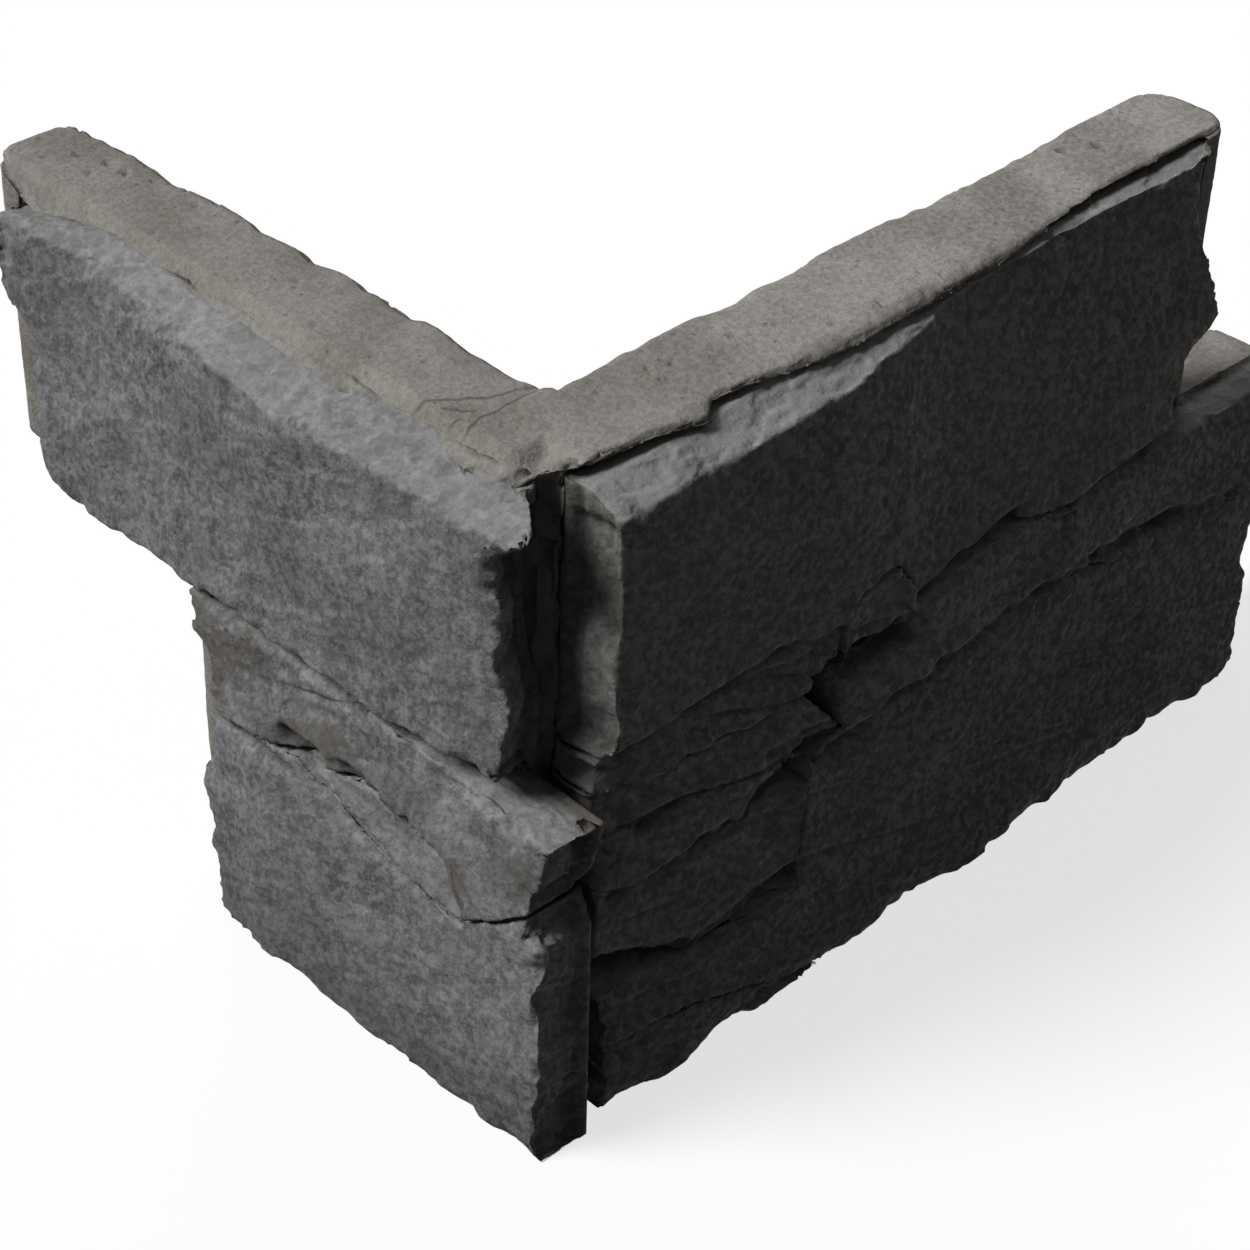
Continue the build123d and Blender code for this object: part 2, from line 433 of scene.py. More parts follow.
def field(points, pattern, seed=0):
    """Fractal noise at each point, about -1 to 1."""
    shifted = points / (np.array(pattern.size) * MM)
    shifted = shifted + (seed + pattern.seed) * np.array(SEED_SHIFT)
    octaves = pattern.octaves
    return np.array([noise.fractal(p, FALL_OFF, LACUNARITY, octaves) for p in shifted.tolist()])


def waves(points, pattern, seed=0):
    """The same noise, about 0 to 1."""
    return 0.5 + 0.5 * field(points, pattern, seed)


def mask(points, pattern, seed=0):
    """The same noise, eased from 0 to 1 between the pattern's levels."""
    return smooth(field(points, pattern, seed), *pattern.levels)


def stepped(values, levels):
    """Flat treads with short risers cut from smooth values, and where the risers are."""
    raised = values * levels
    tread = np.floor(raised)
    rise = smooth(raised - tread, 1 - RISER, 1)
    return (tread + rise) / levels, 4 * rise * (1 - rise)


def gridded(node, name, grid):
    """A new object: the CAD node's mesh merged and laid out again as an even grid."""
    bm = bmesh.new()
    bm.from_mesh(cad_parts[node].data)
    bmesh.ops.remove_doubles(bm, verts=bm.verts, dist=0.001 * MM)
    mesh = bpy.data.meshes.new(name)
    bm.to_mesh(mesh)
    bm.free()
    piece = bpy.data.objects.new(name, mesh)
    bpy.context.scene.collection.objects.link(piece)
    remesh = piece.modifiers.new("Grid", "REMESH")
    remesh.mode = "VOXEL"
    remesh.voxel_size = grid * 1
    depsgraph = bpy.context.evaluated_depsgraph_get()
    even = bpy.data.meshes.new_from_object(piece.evaluated_get(depsgraph))
    piece.modifiers.clear()
    piece.data = even
    bpy.data.meshes.remove(mesh)
    even.name = name
    return piece


def vertex_arrays(mesh):
    """Places and normals of a mesh's vertices."""
    count = len(mesh.vertices)
    places = np.empty(count * 3, np.float32)
    normals = np.empty(count * 3, np.float32)
    mesh.vertices.foreach_get("co", places)
    mesh.vertex_normals.foreach_get("vector", normals)
    return places.reshape(-1, 3).astype(float), normals.reshape(-1, 3).astype(float)


def settle(piece, places, node, material):
    """Put the moved vertices back inside the CAD box and make the piece stand for its node."""
    places = np.clip(places, np.array(CAD_LOW), np.array(CAD_HIGH))
    piece.data.vertices.foreach_set("co", places.astype(np.float32).ravel())
    piece.data.update()
    piece.data.shade_smooth()
    piece.data.materials.clear()
    piece.data.materials.append(material)
    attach(piece, "root")
    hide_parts(node)


def paint(mesh, name, values):
    """Keep a value from 0 to 1 at each vertex for the material."""
    layer = mesh.attributes.new(name, "FLOAT", "POINT")
    layer.data.foreach_set("value", np.clip(values, 0, 1).astype(np.float32))


def grooved(local, grooves):
    """Depth of the shadow lines at each vertex."""
    spots = local[:, [0, 2]]
    depth = np.zeros(len(local))
    for groove in grooves:
        line = np.array(groove.line) * MM
        away = np.full(len(local), np.inf)
        for first, last in zip(line[:-1], line[1:]):
            run = last - first
            share = np.clip((spots - first) @ run / (run @ run), 0, 1)
            off = spots - first - share[:, None] * run
            away = np.minimum(away, np.linalg.norm(off, axis=1))
        cut = groove.depth * MM * np.exp(-((away / (groove.width * MM)) ** 2))
        depth = np.maximum(depth, cut)
    return depth


def other_slates(node):
    """All slates but one, for finding its joints."""
    bm = bmesh.new()
    for other in (*SHORT_SLATES, *LONG_SLATES):
        if other != node:
            bm.from_mesh(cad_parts[other].data)
    tree = BVHTree.FromBMesh(bm)
    bm.free()
    return tree


def find_joints(node, arm, places, local, tilt, front):
    """How much each vertex is part of a joint with another slate, and for the vertices of the face
    the nearest vertex of a side, the distance to it, and the step to a neighbour at an upright
    joint.
    """
    others = other_slates(node)
    depth = local[:, 1]
    sides = np.flatnonzero((np.abs(tilt[:, 1]) < SIDE_TURN) & (depth > BED_DEPTH)).tolist()
    gaps = np.full(len(places), JOINT_REACH)
    tree = kdtree.KDTree(len(sides))
    for i in sides:
        gap = others.find_nearest(places[i], JOINT_REACH)[3]
        gaps[i] = JOINT_REACH if gap is None else gap
        tree.insert(local[i], i)
    tree.balance()
    joint = 1 - smooth(gaps, 2 * MM, 5 * MM)

    beside = np.arange(len(places))
    rim = np.zeros(len(places))
    step = np.zeros(len(places))
    for i in np.flatnonzero(front > 0).tolist():
        _, beside[i], rim[i] = tree.find(local[i])
        joint[i] = joint[beside[i]]
        if joint[i] > 0 and rim[i] < JOINT_REACH:
            spot = others.find_nearest(places[i], 2 * JOINT_REACH)[0]
            if spot is not None:
                proud = depth[i] - spot.dot(arm.out) - 0.3 * MM
                step[i] = max(proud, 0) * joint[i] * abs(tilt[beside[i], 0])
    return joint, beside, rim, step


def split_slate(node, arm, props, material):
    """One slate: uneven split face with flakes and cracks, ragged ends and chipped arrises."""
    split = arm.slates[node]
    seed = split.seed
    piece = gridded(node, node + "_split", props.grid)
    places, normals = vertex_arrays(piece.data)
    turn = np.array((arm.along, arm.out, (0, 0, 1)))
    local = places @ turn.T
    tilt = normals @ turn.T
    height = places[:, 2]
    proud = local[:, 1] - BED_DEPTH
    free = smooth(proud, -1 * MM, 1 * MM)
    up = smooth(tilt[:, 2], 0.35, 0.75)
    front = smooth(tilt[:, 1], 0.3, 0.8) * (1 - up)
    joint, beside, rim, step = find_joints(node, arm, places, local, tilt, front)

    # The noise that the face and the sides are cut with; flakes and cracks run aslant
    aslant = local + 0.35 * local[:, ::-1]
    flakes, risers = stepped(0.5 * field(aslant, FLAKES, seed), FACE_LEVELS)
    tops, edges = stepped(0.5 * field(local, CLEFT_FLAKES, seed), CLEFT_LEVELS)
    bites = mask(local, BITES, seed)
    layers = waves(local, LAYERS, seed)
    notches = mask(local, NOTCHES, seed)
    runs = mask(local, CHIPPED_RUNS, seed)
    lines = 1 - smooth(np.abs(field(aslant, CRACK_LINES, seed)), 0, CRACK_WIDTH)
    cracks = props.crack * split.crack * lines * mask(local, CRACKED_AREAS, seed)
    groove = grooved(local, arm.grooves) * (0.6 + 0.7 * bites)

    # How far the face goes back; at a joint, neighbours share one swell
    face = props.swell * split.swell * waves(local, SWELL, seed)
    face += props.terrace * split.terrace * (0.5 - flakes)
    shared = props.swell * waves(local, SWELL, JOINT_SEED)
    face += joint * fade(rim, SHARED_REACH) * (shared - face)
    chips = bites * fade(rim, CHIP_REACH) * (0.3 + 0.7 * runs) * (1 - 0.8 * joint)
    face += props.chip * split.chip * chips
    face += cracks + groove + 0.9 * step * fade(rim, STEP_REACH)
    face += props.scallop * mask(local, SCALLOPS, seed) * fade(height, SCALLOP_REACH)

    # How far the sides go in: ragged ends, closed joints and cleft tops
    ends = props.bed + (props.rag * split.ends - props.bed) * tilt[:, 0] ** 2
    side = ends * (0.5 * layers + 0.8 * notches)
    side += joint * (props.bed * 0.4 * (layers + notches) - props.close - side)
    cleft = props.flake * (0.5 - tops) + 0.7 * MM * (1 - smooth(proud, 0, 9 * MM))
    side += up * (cleft - side)
    side *= np.maximum(free, up)

    follow = front + (1 - front) * smooth(proud, 0, 12 * MM)
    pinch = (1 - front) * side + props.grain * field(local, GRAIN, seed) * free
    moved = places - np.array(arm.out) * (follow * face)[:, None] - normals * pinch[:, None]
    moved -= normals[beside] * (front * fade(rim, END_REACH) * side[beside])[:, None]
    if node == UNDERCUT_SLATE:
        # Light reaches the end of the long arm's slate behind it
        back = 1 - smooth(proud, -3 * MM, 14 * MM)
        corner = 1 - smooth(local[:, 0] - local[:, 0].min(), 0, 24 * MM)
        higher = 0.4 + 0.6 * smooth(height, 120 * MM, 165 * MM)
        moved += np.array(arm.along) * (props.undercut * back * corner * higher)[:, None]
    standing = height < SLATE_FOOT
    moved[standing, 2] = height[standing]

    worn = front * (bites * fade(rim, WEAR_REACH) * (1 - 0.5 * joint) + 0.7 * risers * runs)
    # Painted shade: near-black in the deep shadow lines and cracks, and on the sides close to the
    # bed
    painted_bed_shade = (1 - up) * (1 - front) * (1 - smooth(proud, 0, 10 * MM))
    painted_groove_shade = smooth(groove + cracks, 0.8 * MM, 3.5 * MM)
    paint(piece.data, "arris", (worn + 0.9 * up * edges) * free)
    paint(piece.data, "cleft", np.maximum(up, split.bare) * free)
    paint(piece.data, "stain", np.full(len(places), split.stain))
    # Painted shade: darker towards the foot, up to 50 mm on the short arm and 150 mm on the long
    # arm
    paint(piece.data, "damp", 1 - smooth(height, 0, arm.damp * MM))
    paint(piece.data, "groove", np.maximum(painted_groove_shade, 0.8 * painted_bed_shade))
    settle(piece, moved, node, material)


def thin_covered(mesh):
    """Give the flat wall faces and the beds behind the slates a coarser mesh."""
    bm = bmesh.new()
    bm.from_mesh(mesh)
    bm.normal_update()
    covered = []
    for vert in bm.verts:
        wall = max(vert.normal.xy) > 0.995
        bed = min(vert.normal.xy) < -0.995 and min(vert.co.xy) < -24 * MM
        if (wall or bed) and 6 * MM < vert.co.z < TOP - 12 * MM:
            covered.append(vert)
    bmesh.ops.unsubdivide(bm, verts=covered, iterations=2)
    bm.to_mesh(mesh)
    bm.free()


def cast_cement(props, material):
    """The cement back: worn edges, air holes and a ragged border where it meets the slates."""
    piece = gridded("cement_back", "cement_back_cast", props.grid)
    thin_covered(piece.data)
    places, normals = vertex_arrays(piece.data)
    x, y, height = places.T
    below = TOP - height
    moved = places.copy()

    # A thin skin of cement over the heads of the short arm's slates
    lobes = 0.9 * field(places * (0, 1, 0), LOBES) - 0.4 - 0.4 * smooth(y, 90 * MM, 150 * MM)
    edge = 1 - smooth(below, 1 * MM, 7 * MM)
    edge *= smooth(-x, 17 * MM, 27 * MM) * smooth(y, -29 * MM, -24 * MM)
    moved[:, 0] -= props.spill * edge * smooth(CAD_HIGH.y - y, 14 * MM, 40 * MM)
    over = np.maximum(-moved[:, 0] - BED_DEPTH + 3 * MM, 0)
    skin = TOP - 0.5 * over + LOBE_DEPTH * (lobes - over / props.spill)
    sag = smooth(y, 125 * MM, 160 * MM) * (1 - smooth(y, 168 * MM, 182 * MM))
    skin -= SAG_DEPTH * sag * smooth(over, 0, 3 * MM)
    lapped = (edge > 0) & (over > 0)
    moved[lapped, 2] = np.minimum(height, skin)[lapped]

    # The lip over the long arm's slate slopes down to a grainy edge
    lip = smooth(-y, 28 * MM, 36 * MM) * (1 - smooth(below, 6 * MM, 9 * MM))
    moved[:, 2] -= LIP_DEPTH * lip * lip
    grit = field(places, GRIT)

    # The upper edges of the wall faces are broken away in bays
    short_wall = np.where(y > 0, np.abs(x), 1)
    long_wall = np.where(x > 0, np.abs(y), 1)
    bays = mask(places, BAYS)
    broken = BAY_DEPTH * bays * fade(np.minimum(short_wall, long_wall) + below, BAY_REACH)
    moved[:, 2] -= broken
    moved[:, 0] -= broken * (y > 0)
    moved[:, 1] -= broken * (x > 0)

    # Worn edges, a slow wave, air holes, and hollows in the slot between the arms' slates
    corner = 1 - smooth(np.abs(normals).max(axis=1), 0.78, 0.97)
    cells = mask(places, HOLES) * mask(places, HOLED_AREAS)
    recess = smooth(-places[:, :2].max(axis=1), 14 * MM, 20 * MM)
    inward = props.erosion * corner * (1.1 * waves(places, WEAR) + bays)
    inward += props.erosion * 0.5 * waves(places, WAVE) + FINE_DEPTH * field(places, FINE)
    inward += props.pit * cells + GRIT_DEPTH * lip * (0.5 + 0.5 * grit)
    inward += HOLLOW_DEPTH * recess * mask(places, HOLLOWS)
    moved -= normals * inward[:, None]
    standing = height < CEMENT_FOOT
    moved[standing, 2] = height[standing]

    # Painted shade inside the air holes and in the slot between the arms' slates, and darker in
    # grainy patches along the lip
    darker_lip_grain = lip * smooth(grit, -0.5, 0.5)
    painted_slot_shade = recess * smooth(below, 2 * MM, 6 * MM)
    paint(piece.data, "hole", cells)
    # Paler towards the long arm
    paint(piece.data, "paler_long_arm", smooth(x, -15 * MM, 120 * MM))
    paint(piece.data, "lip_grain_and_slot_shade", np.maximum(darker_lip_grain, painted_slot_shade))
    settle(piece, moved, "cement_back", material)


def add(tree, kind, inputs=(), **settings):
    """A node with its settings, and each input set to a value or linked to a socket."""
    made = tree.nodes.new(kind)
    for name, value in settings.items():
        setattr(made, name, value)
    for key, value in dict(inputs).items():
        if isinstance(value, bpy.types.NodeSocket):
            tree.links.new(value, made.inputs[key])
        else:
            made.inputs[key].default_value = value
    return made


def combined(tree, operation, first, second):
    """Two values made one."""
    return add(tree, "ShaderNodeMath", {0: first, 1: second}, operation=operation).outputs[0]


def vectors(tree, operation, first, second):
    """The node that makes two vectors one vector or value."""
    return add(tree, "ShaderNodeVectorMath", {0: first, 1: second}, operation=operation)


def scaled(tree, vector, scale):
    """A vector times a value."""
    inputs = {0: vector, "Scale": scale}
    return add(tree, "ShaderNodeVectorMath", inputs, operation="SCALE").outputs[0]


def sum_of(tree, *terms):
    """Add up sockets, each times its share."""
    total = 0.0
    for socket, share in terms:
        inputs = {0: socket, 1: share, 2: total}
        total = add(tree, "ShaderNodeMath", inputs, operation="MULTIPLY_ADD").outputs[0]
    return total


def eased(tree, value, low, high):
    """A value eased from 0 at low to 1 at high."""
    inputs = {"Value": value, "From Min": low, "From Max": high}
    return add(tree, "ShaderNodeMapRange", inputs, interpolation_type="SMOOTHSTEP").outputs[0]


def mixed(tree, factor, first, second):
    """Colour between two, by a factor."""
    inputs = {0: factor, 6: first, 7: second}
    return add(tree, "ShaderNodeMix", inputs, data_type="RGBA").outputs[2]


def painted(tree, name):
    """A value that was kept at the vertices."""
    return add(tree, "ShaderNodeAttribute", attribute_name=name).outputs["Fac"]


def new_group(name, vectors_in, values_in):
    """A node group with its input sockets and one mask, its inputs and its output node."""
    tree = bpy.data.node_groups.new(name, "ShaderNodeTree")
    for label in vectors_in:
        tree.interface.new_socket(label, in_out="INPUT", socket_type="NodeSocketVector")
    for label, default in values_in.items():
        socket = tree.interface.new_socket(label, in_out="INPUT", socket_type="NodeSocketFloat")
        socket.default_value = default
    tree.interface.new_socket("Mask", in_out="OUTPUT", socket_type="NodeSocketFloat")
    return tree, add(tree, "NodeGroupInput").outputs, add(tree, "NodeGroupOutput")


def mottle_group(name):
    """Cloudy mask: noise of a given scale, spread between two levels."""
    values = {"Scale": 100.0, "Low": 0.35, "High": 0.65, "Detail": 2.0}
    tree, given, result = new_group(name, ["Vector"], values)
    inputs = {key: given[key] for key in ("Vector", "Scale", "Detail")} | {"Roughness": 0.6}
    cloud = add(tree, "ShaderNodeTexNoise", inputs).outputs[0]
    spread = eased(tree, cloud, given["Low"], given["High"])
    tree.links.new(spread, result.inputs["Mask"])
    return tree


def speck_group(name):
    """Scattered spots: a share of the cells of a given scale hold one."""
    values = {"Scale": 500.0, "Share": 0.15, "Size": 0.4}
    tree, given, result = new_group(name, ["Vector"], values)
    inputs = {key: given[key] for key in ("Vector", "Scale")}
    cells = add(tree, "ShaderNodeTexVoronoi", inputs).outputs
    near = eased(tree, cells["Distance"], given["Size"], 0.0)
    pick = add(tree, "ShaderNodeSeparateColor", {0: cells["Color"]}).outputs[0]
    chosen = combined(tree, "LESS_THAN", pick, given["Share"])
    tree.links.new(combined(tree, "MULTIPLY", near, chosen), result.inputs["Mask"])
    return tree


def crack_group(name):
    """A soft straight line from a start along a run."""
    tree, given, result = new_group(name, ["Vector", "Start", "Run"], {"Width": 0.5 * MM})
    run = given["Run"]
    off = vectors(tree, "SUBTRACT", given["Vector"], given["Start"]).outputs[0]
    reach = vectors(tree, "DOT_PRODUCT", off, run).outputs["Value"]
    whole = vectors(tree, "DOT_PRODUCT", run, run).outputs["Value"]
    inputs = {0: reach, 1: whole}
    share = add(tree, "ShaderNodeMath", inputs, operation="DIVIDE", use_clamp=True).outputs[0]
    away = vectors(tree, "DISTANCE", off, scaled(tree, run, share)).outputs["Value"]
    tree.links.new(eased(tree, away, given["Width"], 0.0), result.inputs["Mask"])
    return tree


SHARED_GROUPS = {
    "Stone mottle": mottle_group,
    "Stone specks": speck_group,
    "Crack line": crack_group,
}


def group_mask(tree, group, coords, **values):
    """The mask of a shared group, made once and placed in a material with its own values."""
    shared = bpy.data.node_groups.get(group) or SHARED_GROUPS[group](group)
    inputs = {"Vector": coords} | values
    return add(tree, "ShaderNodeGroup", node_tree=shared, inputs=inputs).outputs["Mask"]


def mottled(tree, coords, **values):
    """Cloudy mask in a material."""
    return group_mask(tree, "Stone mottle", coords, **values)


def specked(tree, coords, **values):
    """Scattered spots in a material."""
    return group_mask(tree, "Stone specks", coords, **values)


def new_material(name):
    """A material with only its shader and object coordinates."""
    material = bpy.data.materials.new(name)
    material.use_nodes = True
    tree = material.node_tree
    tree.nodes.clear()
    shader = add(tree, "ShaderNodeBsdfPrincipled", {"Specular IOR Level": SPECULAR})
    add(tree, "ShaderNodeOutputMaterial", {"Surface": shader.outputs[0]})
    coords = add(tree, "ShaderNodeTexCoord").outputs["Object"]
    return material, tree, shader, coords


def bumped(tree, shader, height, strength, distance):
    """Fine relief of the surface, of a depth in mm."""
    inputs = {"Height": height, "Strength": strength, "Distance": distance * MM}
    tree.links.new(add(tree, "ShaderNodeBump", inputs).outputs[0], shader.inputs["Normal"])


def slate_material(name, dark, light, fresh, props):
    """Split slate: grains of two greys, light specks, brown stains, fresh paler edges, and painted
    shade in the grooves and towards the foot.
    """
    material, tree, shader, coords = new_material(name)
    parts = add(tree, "ShaderNodeSeparateXYZ", {0: coords}).outputs
    rise = vectors(tree, "DOT_PRODUCT", coords, LAID).outputs["Value"]
    coords = add(tree, "ShaderNodeCombineXYZ", {0: parts[0], 1: parts[1], 2: rise}).outputs[0]
    broad = mottled(tree, coords, Scale=40.0, Low=0.36, High=0.64, Detail=3.0)
    patches = mottled(tree, coords, Scale=150.0, Low=0.38, High=0.62, Detail=3.0)
    grains = mottled(tree, coords, Scale=380.0, Low=0.38, High=0.62)
    sand = mottled(tree, coords, Scale=800.0, Low=0.40, High=0.60, Detail=1.0)
    stains = mottled(tree, coords, Scale=24.0, Low=0.38, High=0.62)
    clusters = mottled(tree, coords, Scale=58.0, Low=0.50, High=0.66)
    glints = specked(tree, coords, Scale=330.0, Share=0.16, Size=0.46)
    flecks = specked(tree, coords, Scale=240.0, Share=0.5, Size=0.5)
    flecks = combined(tree, "MULTIPLY", flecks, clusters)
    brown = combined(tree, "MULTIPLY", stains, painted(tree, "stain"))
    worn = combined(tree, "MULTIPLY", painted(tree, "arris"), grains)
    bare = sum_of(tree, (painted(tree, "cleft"), fresh), (glints, 0.35), (flecks, 0.6))

    tone = sum_of(tree, (broad, 0.22), (patches, 0.24), (grains, 0.32), (sand, 0.22))
    colour = mixed(tree, tone, (*dark, 1), (*light, 1))
    for share, over in (
        (sum_of(tree, (brown, 0.9)), props.rust),
        (bare, props.cleft),
        (sum_of(tree, (worn, 0.7)), props.cleft),
        # Painted shade, darker towards the foot
        (sum_of(tree, (painted(tree, "damp"), 0.35)), props.painted_shade),
        # Painted shade in the grooves, the cracks and on the sides by the bed
        (sum_of(tree, (painted(tree, "groove"), 0.7)), props.painted_shade),
    ):
        colour = mixed(tree, share, colour, (*over, 1))
    tree.links.new(colour, shader.inputs["Base Color"])
    rough = combined(tree, "ADD", sum_of(tree, (grains, -0.2), (glints, -0.15)), 0.85)
    tree.links.new(rough, shader.inputs["Roughness"])
    bumped(tree, shader, sum_of(tree, (patches, 0.5), (grains, 0.5)), 0.45, 0.5)
    return material


def crack_lines(tree, coords):
    """Cracks that fan out where the two arms meet, bent a little by noise."""
    inputs = {"Vector": coords, "Scale": 110.0, "Detail": 2.0}
    cloud = add(tree, "ShaderNodeTexNoise", inputs).outputs["Color"]
    bend = vectors(tree, "ADD", cloud, (-0.5, -0.5, -0.5)).outputs[0]
    bent = vectors(tree, "ADD", coords, scaled(tree, bend, 4 * MM)).outputs[0]
    bent = vectors(tree, "MULTIPLY", bent, FLATTEN).outputs[0]
    lines = 0.0
    for crack in CRACKS:
        ends = [Vector((x * MM, y * MM, TOP * FLATTEN[2])) for x, y in crack.line]
        for first, last in zip(ends[:-1], ends[1:]):
            values = {"Start": first, "Run": last - first, "Width": crack.width * MM}
            line = group_mask(tree, "Crack line", bent, **values)
            lines = combined(tree, "MAXIMUM", line, lines)
    return lines


def cement_material(props):
    """Cast cement: sandy brown-grey with darker patches, air holes and cracks at the corner, with
    painted shade in the holes, the pores and the slot between the arms' slates.
    """
    material, tree, shader, coords = new_material("cast_cement")
    patches = mottled(tree, coords, Scale=34.0, Low=0.36, High=0.62, Detail=4.0)
    sand = mottled(tree, coords, Scale=520.0, Low=0.36, High=0.64)
    grit = mottled(tree, coords, Scale=1300.0, Low=0.36, High=0.64, Detail=1.0)
    # Painted shade: dark spots inside the air holes and pores, joined with the dark cracks
    pores = specked(tree, coords, Scale=190.0, Share=0.20, Size=0.26)
    pricks = specked(tree, coords, Scale=430.0, Share=0.10, Size=0.36)
    hole = painted(tree, "hole")
    dark = hole
    for spots in (pores, pricks, crack_lines(tree, coords)):
        dark = combined(tree, "MAXIMUM", dark, spots)

    tone = sum_of(tree, (patches, 0.45), (sand, 0.32), (grit, 0.23))
    clean = mixed(tree, painted(tree, "paler_long_arm"), (*props.base, 1), (*props.paler_long_arm, 1))
    colour = mixed(tree, tone, (*props.damp, 1), clean)
    # Darker grain along the lip, painted shade in the slot, then the painted shade of the holes and
    # pores and the dark cracks
    for spots, share in ((painted(tree, "lip_grain_and_slot_shade"), 0.6), (dark, 0.65)):
        colour = mixed(tree, sum_of(tree, (spots, share)), colour, (*props.hole, 1))
    tree.links.new(colour, shader.inputs["Base Color"])
    shader.inputs["Roughness"].default_value = 0.92
    height = sum_of(tree, (sand, 0.45), (patches, 0.3), (hole, -0.8))
    bumped(tree, shader, height, 0.5, 0.6)
    return material


def photo_camera():
    """The camera at the photograph's place."""
    sin, cos = math.sin, math.cos
    across, down = cos(PHOTO_PITCH), sin(PHOTO_PITCH)
    ahead = Vector((sin(PHOTO_YAW) * across, cos(PHOTO_YAW) * across, -down))
    level = Vector((cos(PHOTO_YAW), -sin(PHOTO_YAW), 0))
    rise = level.cross(ahead)
    right = cos(PHOTO_ROLL) * level + sin(PHOTO_ROLL) * rise
    up = cos(PHOTO_ROLL) * rise - sin(PHOTO_ROLL) * level
    lens = bpy.data.cameras.new("photo_view")
    lens.sensor_width = SENSOR
    lens.lens = SENSOR * PHOTO_FOCAL / PHOTO_PIXELS
    camera = bpy.data.objects.new("photo_view", lens)
    place = Matrix((right, up, -ahead)).transposed().to_4x4()
    place.translation = Vector(PHOTO_PLACE) * MM
    camera.matrix_world = place
    bpy.context.scene.collection.objects.link(camera)
    return camera


def sun(name, direction, strength, spread):
    """A soft lamp that shines from a direction."""
    lamp = bpy.data.lights.new(name, "SUN")
    lamp.energy = strength
    lamp.angle = math.radians(spread)
    made = bpy.data.objects.new(name, lamp)
    made.rotation_euler = Vector(direction).to_track_quat("Z", "Y").to_euler()
    bpy.context.scene.collection.objects.link(made)


def seen_by_camera(tree):
    """1 where the camera, a reflection or glass looks, 0 for light bouncing about."""
    path = add(tree, "ShaderNodeLightPath").outputs
    seen = combined(tree, "MAXIMUM", path["Is Camera Ray"], path["Is Glossy Ray"])
    return combined(tree, "MAXIMUM", seen, path["Is Transmission Ray"])


def blended(tree, factor, first, second):
    """A shader between two, by a factor."""
    inputs = {0: factor, 1: first.outputs[0], 2: second.outputs[0]}
    return add(tree, "ShaderNodeMixShader", inputs)


def studio_world(fill):
    """White where the camera looks, and a dim light from all round."""
    world = bpy.data.worlds.new("studio")
    world.use_nodes = True
    tree = world.node_tree
    tree.nodes.clear()
    dim = add(tree, "ShaderNodeBackground", {"Color": WHITE, "Strength": fill})
    white = add(tree, "ShaderNodeBackground", {"Color": WHITE, "Strength": 1.0})
    sky = blended(tree, seen_by_camera(tree), dim, white)
    add(tree, "ShaderNodeOutputWorld", {"Surface": sky.outputs[0]})
    return world


def floor_material(colour):
    """Pale floor that keeps the shadow and throws little light back at the stone."""
    material = bpy.data.materials.new("pale_floor")
    material.use_nodes = True
    tree = material.node_tree
    tree.nodes.clear()
    pale = add(tree, "ShaderNodeBsdfDiffuse", {"Color": (*colour, 1)})
    glow = add(tree, "ShaderNodeEmission", {"Color": WHITE, "Strength": 1.0})
    shown = blended(tree, FLOOR_GLOW, pale, glow)
    dull = add(tree, "ShaderNodeBsdfDiffuse", {"Color": FLOOR_BOUNCE})
    both = blended(tree, seen_by_camera(tree), dull, shown)
    add(tree, "ShaderNodeOutputMaterial", {"Surface": both.outputs[0]})
    return material


def set_stage(props):
    """Camera at the photograph's place, pale floor, key from the left and a rim from behind."""
    scene = bpy.context.scene
    scene.camera = photo_camera()
    sun("key", KEY_FROM, props.key, KEY_SPREAD)
    sun("rim", RIM_FROM, props.rim, RIM_SPREAD)
    scene.world = studio_world(props.fill)

    bm = bmesh.new()
    bmesh.ops.create_grid(bm, x_segments=1, y_segments=1, size=FLOOR_REACH)
    mesh = bpy.data.meshes.new("floor")
    bm.to_mesh(mesh)
    bm.free()
    mesh.materials.append(floor_material(props.floor))
    floor = bpy.data.objects.new("floor", mesh)
    scene.collection.objects.link(floor)
    scene.view_settings.view_transform = "Standard"


class SLATECORNER_OT_short_arm(bpy.types.Operator):
    """Split the slates of the short arm"""

    bl_idname = "slate_corner.short_arm"
    bl_label = "Split short arm's slates"

    def execute(self, context):
        props = context.scene.slate_corner_slate
        material = slate_material("blue_grey_slate", props.dark, props.light, SHORT.fresh, props)
        for node in SHORT.slates:
            split_slate(node, SHORT, props, material)
        return {"FINISHED"}


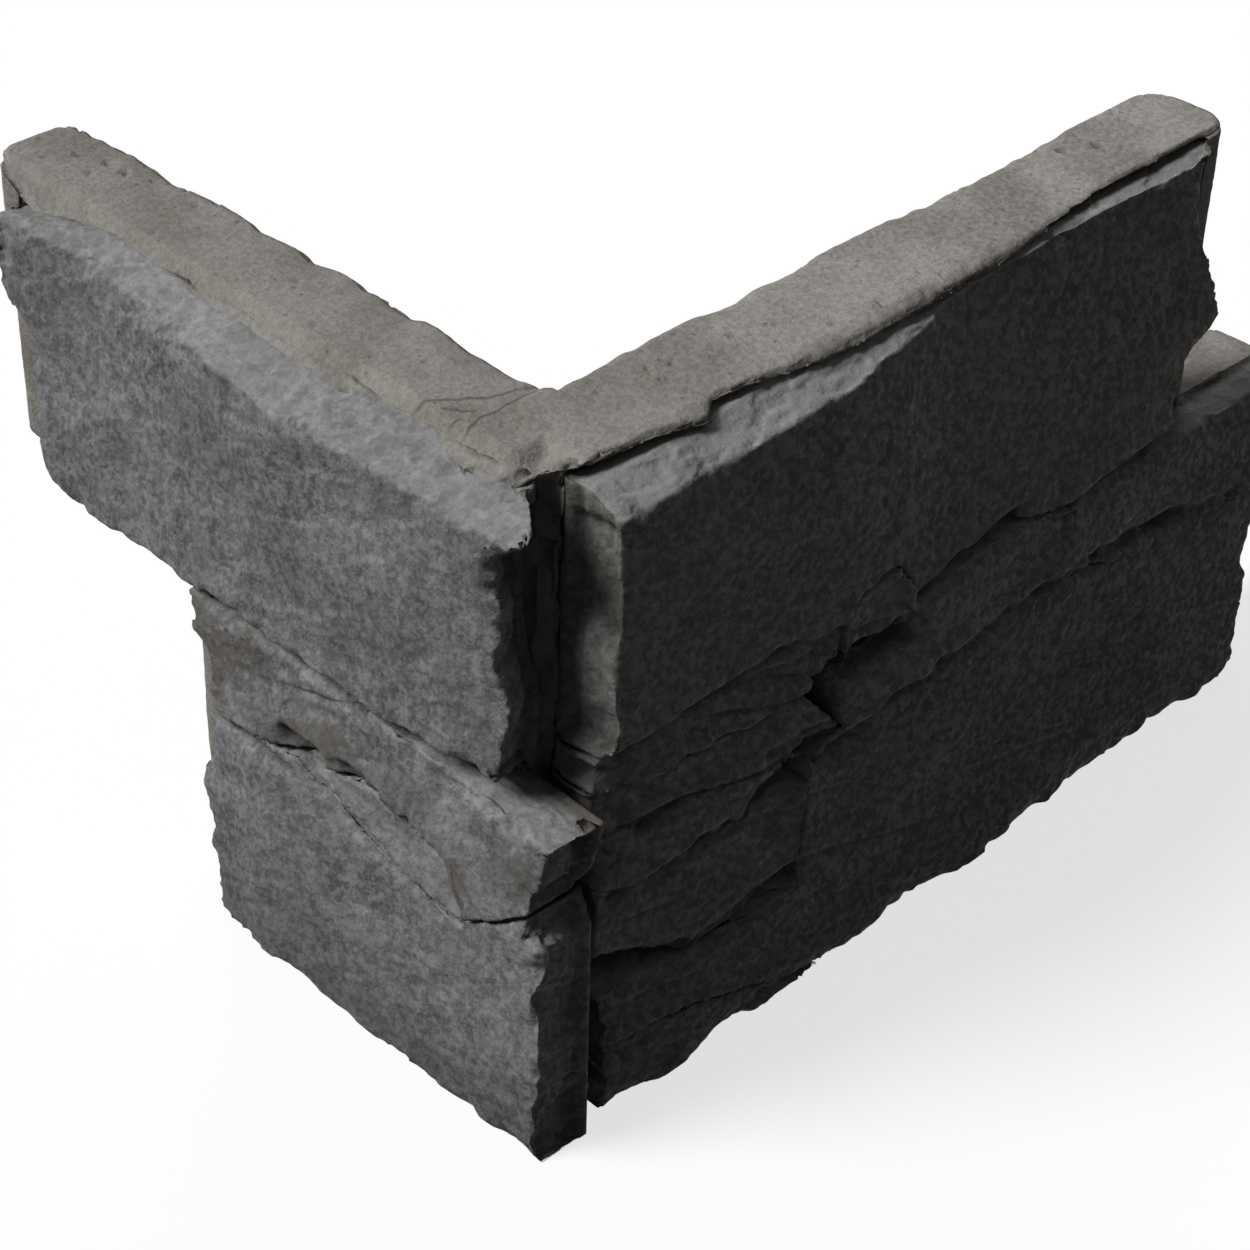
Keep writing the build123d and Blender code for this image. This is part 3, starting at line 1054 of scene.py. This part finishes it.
class SLATECORNER_OT_long_arm(bpy.types.Operator):
    """Split the slates of the long arm"""

    bl_idname = "slate_corner.long_arm"
    bl_label = "Split long arm's slates"

    def execute(self, context):
        props = context.scene.slate_corner_slate
        material = slate_material("dark_slate", props.shade, props.pale, LONG.fresh, props)
        for node in LONG.slates:
            split_slate(node, LONG, props, material)
        return {"FINISHED"}


class SLATECORNER_OT_cement(bpy.types.Operator):
    """Cast the cement back"""

    bl_idname = "slate_corner.cement"
    bl_label = "Cast cement back"

    def execute(self, context):
        props = context.scene.slate_corner_cement
        cast_cement(props, cement_material(props))
        return {"FINISHED"}


class SLATECORNER_OT_stage(bpy.types.Operator):
    """Set up the camera, the light and the floor"""

    bl_idname = "slate_corner.stage"
    bl_label = "Set stage"

    def execute(self, context):
        set_stage(context.scene.slate_corner_stage)
        return {"FINISHED"}


class SLATECORNER_PT_panel(bpy.types.Panel):
    """Sizes, colours and steps of the facade corner"""

    bl_idname = "SLATECORNER_PT_panel"
    bl_label = "Slate corner"
    bl_space_type = "VIEW_3D"
    bl_region_type = "UI"
    bl_category = "Slate corner"

    def draw(self, context):
        for name in GROUPS:
            group = getattr(context.scene, name)
            box = self.layout.box()
            for key in group.__annotations__:
                box.prop(group, key)
        for step in STEPS:
            self.layout.operator(step.bl_idname)


GROUPS = {
    "slate_corner_slate": SlateProps,
    "slate_corner_cement": CementProps,
    "slate_corner_stage": StageProps,
}
STEPS = (
    SLATECORNER_OT_short_arm,
    SLATECORNER_OT_long_arm,
    SLATECORNER_OT_cement,
    SLATECORNER_OT_stage,
)
CLASSES = (*GROUPS.values(), *STEPS, SLATECORNER_PT_panel)


def register():
    for kind in CLASSES:
        bpy.utils.register_class(kind)
    for name, kind in GROUPS.items():
        setattr(bpy.types.Scene, name, bpy.props.PointerProperty(type=kind))


def unregister():
    for name in GROUPS:
        delattr(bpy.types.Scene, name)
    for kind in reversed(CLASSES):
        bpy.utils.unregister_class(kind)


def main():
    register()
    bpy.ops.slate_corner.short_arm()
    bpy.ops.slate_corner.long_arm()
    bpy.ops.slate_corner.cement()
    bpy.ops.slate_corner.stage()


if __name__ == "__main__":
    main()
